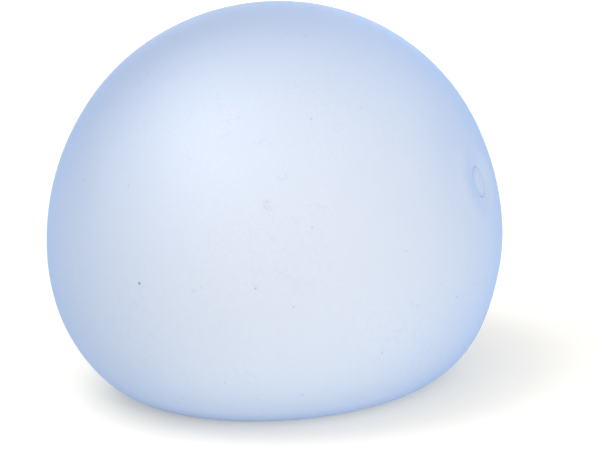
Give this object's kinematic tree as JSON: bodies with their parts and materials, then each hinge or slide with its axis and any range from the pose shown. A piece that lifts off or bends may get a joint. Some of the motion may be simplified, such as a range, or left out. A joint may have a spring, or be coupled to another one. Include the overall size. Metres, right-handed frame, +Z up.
{
  "type": "stress ball",
  "caption": "Gel-filled stress ball: a soft translucent rubber skin, a milky gel inside it and a sealed bung in the filling port; it slumps onto a wide flat foot.",
  "frame": {"origin": "middle of the flat foot that the ball stands on, on the floor", "axes": "+Z up; +X to the side of the ball near the filling port; -Y to the front"},
  "size_m": [0.066, 0.066, 0.0551],
  "materials": {
    "skin": "translucent pale blue thermoplastic rubber, satin, faintly dusty",
    "gel": "milky white gel",
    "plug": "translucent pale blue thermoplastic rubber, satin",
    "sealant": "clear cured sealant, glossy"
  },
  "bodies": {
    "ball": {"skin": "skin", "gel_fill": "gel"},
    "plug": {"fill_plug": "plug", "plug_seal": "sealant"}
  },
  "joints": [
    {"name": "squeeze", "type": "slide", "parent": "ball", "child": "plug", "axis": [0.5485, -0.2051, -0.8106], "range_m": [0, 0.013], "stiffness_N_per_m": 900, "deforming": ["skin", "gel_fill"]}
  ]
}
